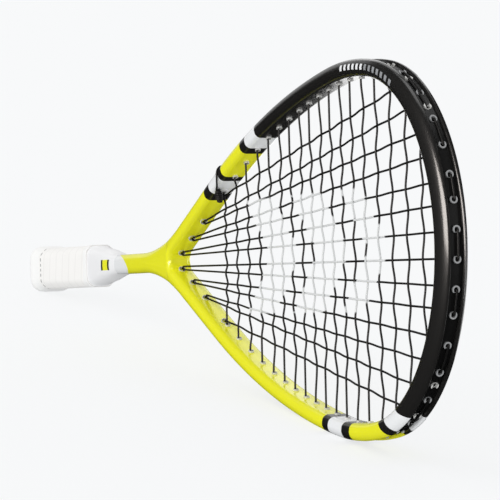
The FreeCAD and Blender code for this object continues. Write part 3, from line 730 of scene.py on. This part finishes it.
def groove_run(start, end, inset):
    """String in the groove between two bends, without its end points."""
    count = max(2, int((end - start).length / STEP))
    run = []
    for step in range(1, count):
        share = step / count
        flat = to_outer(start.lerp(end, share).to_2d(), inset)
        run.append(raised(flat, start.z + (end.z - start.z) * share))
    return run


def main_bends(index):
    """Bends of one upper main, from outside the throat to outside the tip."""
    hole = throat_holes[HOLE_OF_MAIN[index]]
    tip = tip_holes[index]
    across = Vector((-hole.direction.y, hole.direction.x))
    shared = MAINS_OF_HOLE[HOLE_OF_MAIN[index]]
    sign = 1 if index == shared[0] else -1
    fan = Vector((0, 0))
    if len(shared) == 2:
        fan = (across - Vector((0, 1))).normalized() * THROAT_FAN * sign
    return [raised(hole.at(hole.depth_to(THROAT_INSET)), STRING_OFFSET * sign),
            raised(hole.inner_bend() + fan, -STRING_OFFSET),
            raised(tip.inner_bend(), -STRING_OFFSET),
            raised(tip.at(tip.depth_to(STRING_INSET)), -STRING_OFFSET)]


def over(main, cross):
    """One where a main passes in front of a cross, minus one where it passes behind."""
    return 1 if (main + cross) % 2 else -1


def woven_main(index, side):
    """One main with its weave, from outside the throat to outside the tip."""
    outside, inside, tip_inside, tip_outside = main_bends(index)
    number = index if side > 0 else -index - 1
    knots = [(inside.x, -STRING_OFFSET)]
    for cross, x in enumerate(CROSS_BED_X):
        if inside.x + MAIN_CLEAR < x < tip_inside.x - MAIN_CLEAR:
            knots.append((x, WEAVE * over(number, cross)))
    knots.append((tip_inside.x, -STRING_OFFSET))
    path = [outside, inside] + bed_run(inside, tip_inside, 0, knots) + [tip_inside, tip_outside]
    return [flip(point, side) for point in path]


def main_half(side):
    """Half of the main string, from the run across the tip's middle to its tied end."""
    order = ((0, True), (2, False), (1, True), (3, False), (4, True), (6, False), (5, True))
    path = []
    for index, down in order:
        run = woven_main(index, side)
        if down:
            run.reverse()
        if path:
            inset = THROAT_INSET if not down else STRING_INSET
            path += groove_run(path[-1], run[0], inset)
        path += run
    return path


def cross_path():
    """The cross string, woven from flank to flank and stepped on outside the hoop."""
    path = []
    for cross, hole in enumerate(side_holes):
        outside = raised(hole.at(hole.depth_to(STRING_INSET)), STRING_OFFSET)
        inside = raised(hole.inner_bend(), STRING_OFFSET)
        knots = [(-inside.y, STRING_OFFSET)]
        crossings = []
        for index in range(len(MAIN_GAUGE_Y)):
            bends = main_bends(index)
            share = (inside.x - bends[1].x) / (bends[2].x - bends[1].x)
            y = bends[1].y + (bends[2].y - bends[1].y) * share
            if 0 < share < 1 and y < inside.y - CROSS_CLEAR:
                crossings += [(y, -WEAVE * over(index, cross)), (-y, -WEAVE * over(-index - 1, cross))]
        knots += sorted(crossings) + [(inside.y, STRING_OFFSET)]
        low = flip(inside, -1)
        run = [flip(outside, -1), low] + bed_run(low, inside, 1, knots) + [inside, outside]
        if cross % 2:
            run.reverse()
        if path:
            path += groove_run(path[-1], run[0], STRING_INSET)
        path += run
    return path


def rounded_path(path):
    """The path with its sharp bends rounded."""
    result = [path[0]]
    for before, point, after in zip(path, path[1:], path[2:]):
        back = before - point
        ahead = after - point
        if back.length < TINY or ahead.length < TINY:
            continue
        if back.angle(ahead) > NEARLY_STRAIGHT:
            result.append(point)
            continue
        near = point + back.normalized() * min(CORNER, CORNER_SHARE * back.length)
        far = point + ahead.normalized() * min(CORNER, CORNER_SHARE * ahead.length)
        for step in range(CORNER_STEPS + 1):
            share = step / CORNER_STEPS
            result.append(near.lerp(point, share).lerp(point.lerp(far, share), share))
    result.append(path[-1])
    return result


def string_tube(name, path, replaced):
    """Round string along a path, with its ends closed."""
    points = []
    values = []
    side = None
    length = 0.0
    count = len(path)
    for index, centre in enumerate(path):
        ahead = (path[min(index + 1, count - 1)] - path[max(index - 1, 0)]).normalized()
        if side is None:
            side = ahead.orthogonal()
        side = (side - ahead * side.dot(ahead)).normalized()
        up = ahead.cross(side)
        if index:
            length += (centre - path[index - 1]).length
        for turn in range(TUBE_SIDES):
            angle = FULL_TURN * turn / TUBE_SIDES
            offset = side * math.cos(angle) + up * math.sin(angle)
            points.append(centre + offset * STRING_RADIUS)
            values.append((math.cos(angle), math.sin(angle), length))
    faces = grid_faces(count, TUBE_SIDES, False, True)
    faces.append(tuple(range(TUBE_SIDES)))
    faces.append(tuple(reversed(range(len(points) - TUBE_SIDES, len(points)))))
    add_piece(name, points, faces, STRING, replaced, values)


upper_half = main_half(1)
lower_half = main_half(-1)
tip_run = groove_run(lower_half[0], upper_half[0], STRING_INSET)
main_path = list(reversed(lower_half)) + tip_run + upper_half
string_tube("main_string", rounded_path(main_path), ["main_strings", "main_string_loops"])
string_tube("cross_string", rounded_path(cross_path()), ["cross_strings", "cross_string_loops"])

# --------------------------------------------------------------------------- tie-off
TAIL = ((372.0, 54.2, 0.8), (372.6, 56.4, 3.4), (373.4, 56.6, 5.4), (374.2, 55.4, 7.6), (374.8, 53.6, 8.8),
        (375.2, 51.0, 9.15), (375.2, 48.6, 9.15), (374.6, 46.2, 8.9), (373.0, 43.8, 8.2))
KNOT_ENDS = ((367.6, 42.4, 5.6), (365.8, 34.6, 3.6))
KNOT_TURNS = 6.6
KNOT_STEPS = 130
KNOT_RADIUS = 1.0
KNOT_BULGE = 1.1
KNOT_EXIT = Vector((4, 0, 1.2))
SMOOTHINGS = 2


def make_tie_off():
    """Knot in front of the upper outermost main, and its tail, which comes over the frame's edge."""
    path = [Vector(point) for point in TAIL]
    start, end = (Vector(point) for point in KNOT_ENDS)
    along = (end - start).normalized()
    beside = Vector((along.y, -along.x, 0)).normalized()
    front = beside.cross(along)
    for step in range(KNOT_STEPS + 1):
        share = step / KNOT_STEPS
        turn = FULL_TURN * KNOT_TURNS * share + math.pi / 2
        radius = KNOT_RADIUS + KNOT_BULGE * math.sin(math.pi * share)
        path.append(start.lerp(end, share) + (beside * math.cos(turn) + front * math.sin(turn)) * radius)
    path.append(main_bends(len(MAIN_GAUGE_Y) - 1)[1] + KNOT_EXIT)
    fine = []
    for here, after in zip(path, path[1:]):
        pieces = max(1, round((after - here).length / STEP))
        fine += [here.lerp(after, step / pieces) for step in range(pieces)]
    fine.append(path[-1])
    for _ in range(SMOOTHINGS):
        inner = [(before + point * 2 + after) / 4 for before, point, after in zip(fine, fine[1:], fine[2:])]
        fine = [fine[0]] + inner + [fine[-1]]
    string_tube("tie_off", fine, ["tie_off_knot"])


make_tie_off()

# --------------------------------------------------------------------------- handle
HANDLE_SIDES = 96
GRIP_THICKNESS = 1.2
FIT_GAP = 0.05
CAP_CORNER = 5.2
# Half width, half depth and corner cut of the taped handle at its two ends.
BUTT_SECTION = (15, 13.6, 5)
TOP_SECTION = (14.6, 10.2, 4)
# How sharp the corners of a section are: a higher value is nearer to a true octagon.
SHARPNESS = 16
TAPE_SHARPNESS = 24
TAPER_SHARPNESS = 8
WRAP_RELIEF = 0.3
WRAP_TILT = 0.35
SEAM_WIDTH = 1.3
BAND_WIDTH = 7


def octagon_radius(angle, half_width, half_depth, corner, sharpness):
    """Radius of a rounded octagon in a direction."""
    diagonal = (half_width + half_depth - corner) / math.sqrt(2)
    y, z = math.cos(angle), math.sin(angle)
    total = 0.0
    for reach, distance in ((abs(y), half_width), (abs(z), half_depth),
                            ((abs(y) + abs(z)) / math.sqrt(2), diagonal)):
        total += (reach / distance) ** sharpness
    return total ** (-1 / sharpness)


def handle_ring(x, half_width, half_depth, corner, relief=None, sharpness=SHARPNESS):
    """Ring of points round the handle's axis at x."""
    ring = []
    for step in range(HANDLE_SIDES):
        angle = FULL_TURN * step / HANDLE_SIDES
        radius = octagon_radius(angle, half_width, half_depth, corner, sharpness)
        if relief:
            radius -= relief(x, angle)
        ring.append((x, radius * math.cos(angle), radius * math.sin(angle)))
    return ring


def grip_section(x):
    """Half width, half depth and corner cut of the taped handle at x."""
    share = min(1, max(0, (x - GRIP_START) / (GRIP_END - GRIP_START)))
    return [start + (end - start) * share for start, end in zip(BUTT_SECTION, TOP_SECTION)]


def shell(name, outside, inside, material, replaced, is_cup=False):
    """Closed skin between two rows of rings: a sleeve, or a cup with a face across each first ring."""
    rings = outside + inside[::-1]
    points = [point for ring in rings for point in ring]
    faces = grid_faces(len(rings), HANDLE_SIDES, not is_cup, True)
    if is_cup:
        faces.append(tuple(range(HANDLE_SIDES)))
        faces.append(tuple(range(len(points) - HANDLE_SIDES, len(points))))
    face_outwards(add_piece(name, points, faces, material, [replaced]))


def wrap_relief(x, angle):
    """How far the tape's surface lies below its highest face, for a spiral wrap that overlaps."""
    phase = ((x - GRIP_START) / WRAP_PITCH + angle / FULL_TURN) % 1
    seam = max(0, 1 - min(phase, 1 - phase) * WRAP_PITCH / SEAM_WIDTH)
    return WRAP_RELIEF * (WRAP_TILT * phase + (1 - WRAP_TILT) * seam ** 2)


def grown_ring(x, growth, sharpness=SHARPNESS):
    """Ring at x that stands off the taped handle's section by growth."""
    half_width, half_depth, corner = grip_section(x)
    return handle_ring(x, half_width + growth, half_depth + growth, corner, None, sharpness)


def make_grip():
    """Wrapped tape with its spiral seam."""
    start = GRIP_START + 0.1
    steps = 220
    outside = []
    for step in range(steps + 1):
        x = start + (GRIP_END - start) * step / steps
        outside.append(handle_ring(x, *grip_section(x), wrap_relief, TAPE_SHARPNESS))
    inside = [grown_ring(x, 0.1 - GRIP_THICKNESS) for x in (start, GRIP_END)]
    shell("grip_wrap", outside, inside, GRIP, "grip_tape")


def make_finishing_tape():
    """Tape ring that closes the wrap's upper edge."""
    start = GRIP_END - BAND_WIDTH
    profile = ((start, 0.05), (start + 0.2, 0.3), (GRIP_END - 0.2, 0.35), (GRIP_END, 0.1))
    outside = [grown_ring(x, growth, TAPE_SHARPNESS) for x, growth in profile]
    inside = [grown_ring(x, -0.1, TAPE_SHARPNESS) for x in (start, GRIP_END)]
    shell("finishing_ring", outside, inside, BAND, "finishing_tape")


def make_butt_cap():
    """Flared cup over the handle's end."""
    outline = ((0, 9.0, 8.2), (0.05, 12.6, 11.6), (0.6, 13.8, 12.8), (2, 14.9, 13.9), (4.5, 16.1, 15.0),
               (6.5, 16.6, 15.5), (8, 16.7, 15.6), (9.5, 16.6, 15.5), (11.5, 16.2, 15.0), (14, 15.6, 14.35),
               (17, 15.2, 13.85), (20.4, 15.05, 13.65), (21, 14.9, 13.5))
    outside = [handle_ring(x, width, depth, CAP_CORNER) for x, width, depth in outline]
    inside = [grown_ring(x, FIT_GAP - GRIP_THICKNESS) for x in (CAP_FLOOR, GRIP_START)]
    shell("butt_cup", outside, inside, CAP, "butt_cap", is_cup=True)


def make_taper():
    """Moulded taper down to the shaft."""
    start = GRIP_END + 0.1
    sections = ((126, 14.0, 9.85, 4), (131, 13.3, 9.8, 3.9), (137, 12.4, 9.7, 3.8),
                (142, 11.7, 9.65, 3.7), (147, 11.0, 9.6, 3.6), (155, 9.3, 9.4, 3.2), (163, 7.8, 9.15, 2.8),
                (170, 7.0, 8.85, 2.6), (175.6, 6.62, 8.6, 2.5), (TAPER_END, 6.55, 8.55, 2.4))
    outside = [handle_ring(start, 14.3, 9.9, 4)]
    outside += [handle_ring(*section, None, TAPER_SHARPNESS) for section in sections]
    inside = [handle_ring(x, 6.4, 8.3, 2.4) for x in (start, TAPER_END)]
    shell("handle_cone", outside, inside, TAPER, "handle_taper")


make_grip()
make_finishing_tape()
make_butt_cap()
make_taper()

# --------------------------------------------------------------------------- carried-over CAD nodes
CARRIED = {
    "head_groove_strip": NYLON, "left_groove_strip": NYLON, "right_groove_strip": NYLON,
    "head_grommets": GROMMET, "left_side_grommets": PALE_GROMMET, "right_side_grommets": PALE_GROMMET,
    "left_throat_grommets": PALE_GROMMET, "right_throat_grommets": PALE_GROMMET,
    "front_handle_core": FOAM, "back_handle_core": FOAM,
}
for piece in bpy.data.objects:
    if piece.name in CARRIED:
        piece.data.materials.clear()
        piece.data.materials.append(CARRIED[piece.name])

# --------------------------------------------------------------------------- studio
FLOOR_SIZE = 30
FLOOR_COLOUR = (0.2, 0.202, 0.206, 1)
FLOOR_GLOW_COLOUR = (0.985, 0.995, 1.0, 1)
FLOOR_GLOW = 0.745
# The sky's brightness below the horizon, at it and overhead, as a share of its strength.
SKY_STRENGTH = 1.22
SKY_BANDS = ((0.49, 0.03), (0.51, 0.93), (1.0, 0.65))
KEY_STRENGTH = 0.85
KEY_DIRECTION = Vector((0.1, 1, -0.45))
KEY_ANGLE = math.radians(70)

floor_mesh = bpy.data.meshes.new("studio_floor")
corners = [(-FLOOR_SIZE, -FLOOR_SIZE, 0), (FLOOR_SIZE, -FLOOR_SIZE, 0),
           (FLOOR_SIZE, FLOOR_SIZE, 0), (-FLOOR_SIZE, FLOOR_SIZE, 0)]
floor_mesh.from_pydata(corners, [], [(0, 1, 2, 3)])
floor_material = bpy.data.materials.new("studio_floor")
floor_material.use_nodes = True
floor_shader = floor_material.node_tree.nodes["Principled BSDF"]
floor_shader.inputs["Base Color"].default_value = FLOOR_COLOUR
floor_shader.inputs["Emission Color"].default_value = FLOOR_GLOW_COLOUR
floor_shader.inputs["Emission Strength"].default_value = FLOOR_GLOW
floor_shader.inputs["Roughness"].default_value = 1.0
floor_shader.inputs["Specular IOR Level"].default_value = 0.0
floor_mesh.materials.append(floor_material)
floor = bpy.data.objects.new("studio_floor", floor_mesh)
bpy.context.scene.collection.objects.link(floor)
floor.visible_glossy = False

world = bpy.data.worlds.new("studio_world")
bpy.context.scene.world = world
world.use_nodes = True
sky_nodes = world.node_tree.nodes
sky_links = world.node_tree.links
direction = sky_nodes.new("ShaderNodeTexCoord")
split = sky_nodes.new("ShaderNodeSeparateXYZ")
ramp = sky_nodes.new("ShaderNodeValToRGB")
ramp.color_ramp.elements.new(0.5)
for element, (position, level) in zip(ramp.color_ramp.elements, SKY_BANDS):
    element.position = position
    element.color = (level, level, level, 1)
rise = sky_nodes.new("ShaderNodeMath")
rise.operation = "MULTIPLY_ADD"
rise.inputs[1].default_value = 0.5
rise.inputs[2].default_value = 0.5
sky_links.new(direction.outputs["Generated"], split.inputs[0])
sky_links.new(split.outputs["Z"], rise.inputs[0])
sky_links.new(rise.outputs[0], ramp.inputs["Fac"])
sky_links.new(ramp.outputs["Color"], sky_nodes["Background"].inputs["Color"])
sky_nodes["Background"].inputs["Strength"].default_value = SKY_STRENGTH
world.cycles_visibility.glossy = False


def add_softbox(name, position, target, width, height, power, tint=(1, 1, 1)):
    """Rectangular area light that faces a target."""
    light = bpy.data.lights.new(name, "AREA")
    light.shape = "RECTANGLE"
    light.size = width
    light.size_y = height
    light.energy = power
    light.color = tint
    lamp = bpy.data.objects.new(name, light)
    lamp.location = position
    lamp.visible_diffuse = False
    lamp.visible_camera = False
    aim = Vector(target) - Vector(position)
    lamp.rotation_euler = aim.to_track_quat("-Z", "Y").to_euler()
    bpy.context.scene.collection.objects.link(lamp)


TIP = place((LENGTH, 0, 0))
add_softbox("front_softbox", TIP + Vector((0.5, -1.56, 0.47)), TIP, 1.6, 0.9, 72, (1.0, 0.93, 0.88))
add_softbox("top_softbox", Vector((-0.2, 0.1, 1.8)), (0, 0, 0.1), 1.6, 0.8, 7)
add_softbox("side_softbox", TIP + Vector((0.9, 1.4, 0.1)), TIP, 0.25, 1.4, 12)
add_softbox("back_softbox", Vector((-3.0, 0.6, 0.9)), (0, 0, 0.1), 3.0, 1.6, 8)
add_softbox("behind_softbox", Vector((-1.8, 0.95, 1.55)), (0, 0, 0.1), 1.8, 1.8, 9)
add_softbox("behind_card", Vector((-0.4, 0.97, 0.01)), (-0.4, 0.96, 1.0), 1.6, 1.6, 14)

key = bpy.data.lights.new("key", "SUN")
key.energy = KEY_STRENGTH
key.angle = KEY_ANGLE
key_lamp = bpy.data.objects.new("key", key)
key_lamp.rotation_euler = KEY_DIRECTION.to_track_quat("-Z", "Y").to_euler()
key_lamp.visible_glossy = False
bpy.context.scene.collection.objects.link(key_lamp)

# --------------------------------------------------------------------------- camera
CAMERA_POSITION = Vector((1.52775, -0.59453, 0.29208))
CAMERA_VIEW = Vector((-0.91888, 0.37230, -0.13060)).normalized()
CAMERA_UP = Vector((-0.13419, 0.01635, 0.99081))
lens = bpy.data.cameras.new("camera")
lens.lens = 190.8
lens.sensor_width = 36
lens.clip_end = 100
camera = bpy.data.objects.new("camera", lens)
right = CAMERA_VIEW.cross(CAMERA_UP).normalized()
up = right.cross(CAMERA_VIEW)
turned = Matrix((right, up, -CAMERA_VIEW)).transposed().to_4x4()
camera.matrix_world = Matrix.Translation(CAMERA_POSITION) @ turned
bpy.context.scene.collection.objects.link(camera)
bpy.context.scene.camera = camera
bpy.context.scene.view_settings.view_transform = "Standard"
